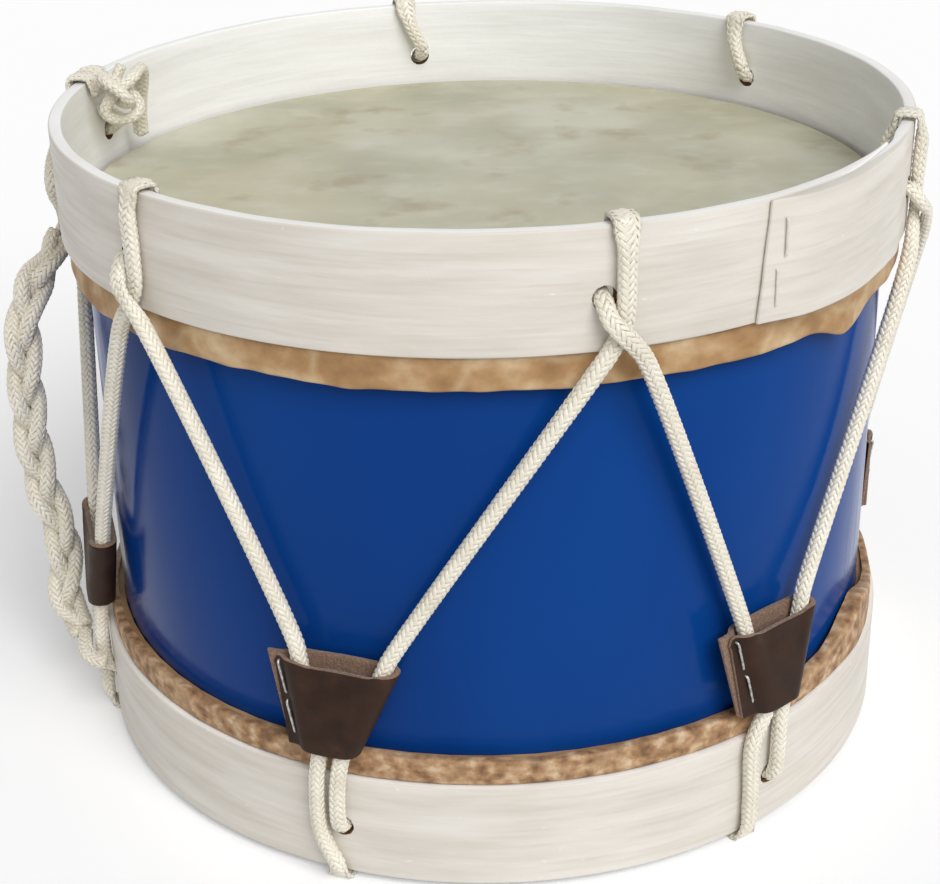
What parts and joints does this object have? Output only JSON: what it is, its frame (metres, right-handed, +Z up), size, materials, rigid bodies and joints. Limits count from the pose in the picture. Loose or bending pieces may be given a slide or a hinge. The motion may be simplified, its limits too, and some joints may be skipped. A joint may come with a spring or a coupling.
{
  "type": "rope-laced drum",
  "caption": "Cylindrical two-headed drum: painted shell, lapped skins, counterhoops laced together by one cord, leather tighteners that slide on it, and a braided handle.",
  "frame": {"origin": "on the drum's axis, at the floor under the cord turns that the drum stands on", "axes": "+Z up the drum's axis to its played head, -Y to the side that faces the viewer"},
  "size_m": [0.3202, 0.3012, 0.2299],
  "materials": {
    "shell_paint": "gloss blue paint",
    "hoop_paint": "brushed white paint",
    "top_head_skin": "scraped skin",
    "bottom_head_skin": "skin with short hair",
    "flesh_hoop_wood": "bare",
    "white_cord": "braided, slight sheen",
    "dark_leather": "smooth, suede edges",
    "staple_wire": "galvanised"
  },
  "bodies": {
    "drum": {"shell": "shell_paint", "top_skin": "top_head_skin", "bottom_skin": "bottom_head_skin", "top_flesh_hoop": "flesh_hoop_wood", "bottom_flesh_hoop": "flesh_hoop_wood", "top_counterhoop": "hoop_paint", "bottom_counterhoop": "hoop_paint", "top_hoop_staple_1": "staple_wire", "top_hoop_staple_2": "staple_wire", "bottom_hoop_staple_1": "staple_wire", "bottom_hoop_staple_2": "staple_wire", "lashing_cord": "white_cord", "lashing_knot": "white_cord", "handle_braid": "white_cord", "handle_upper_hitch": "white_cord", "handle_lower_hitch": "white_cord"},
    "tightener_1": {"tightener_1": "dark_leather", "tightener_1_staple_1": "staple_wire", "tightener_1_staple_2": "staple_wire"},
    "tightener_2": {"tightener_2": "dark_leather", "tightener_2_staple_1": "staple_wire", "tightener_2_staple_2": "staple_wire"},
    "tightener_3": {"tightener_3": "dark_leather", "tightener_3_staple_1": "staple_wire", "tightener_3_staple_2": "staple_wire"},
    "tightener_4": {"tightener_4": "dark_leather", "tightener_4_staple_1": "staple_wire", "tightener_4_staple_2": "staple_wire"},
    "tightener_5": {"tightener_5": "dark_leather", "tightener_5_staple_1": "staple_wire", "tightener_5_staple_2": "staple_wire"},
    "tightener_6": {"tightener_6": "dark_leather", "tightener_6_staple_1": "staple_wire", "tightener_6_staple_2": "staple_wire"}
  },
  "joints": [
    {"name": "tightener_1_slide", "type": "slide", "parent": "drum", "child": "tightener_1", "axis": [0, 0, 1], "range_m": [0, 0.025], "deforming": ["lashing_cord"]},
    {"name": "tightener_2_slide", "type": "slide", "parent": "drum", "child": "tightener_2", "axis": [0, 0, 1], "range_m": [0, 0.025], "deforming": ["lashing_cord"]},
    {"name": "tightener_3_slide", "type": "slide", "parent": "drum", "child": "tightener_3", "axis": [0, 0, 1], "range_m": [0, 0.025], "deforming": ["lashing_cord"]},
    {"name": "tightener_4_slide", "type": "slide", "parent": "drum", "child": "tightener_4", "axis": [0, 0, 1], "range_m": [0, 0.025], "deforming": ["lashing_cord"]},
    {"name": "tightener_5_slide", "type": "slide", "parent": "drum", "child": "tightener_5", "axis": [0, 0, 1], "range_m": [0, 0.025], "deforming": ["lashing_cord"]},
    {"name": "tightener_6_slide", "type": "slide", "parent": "drum", "child": "tightener_6", "axis": [0, 0, 1], "range_m": [0, 0.025], "deforming": ["lashing_cord"]}
  ]
}
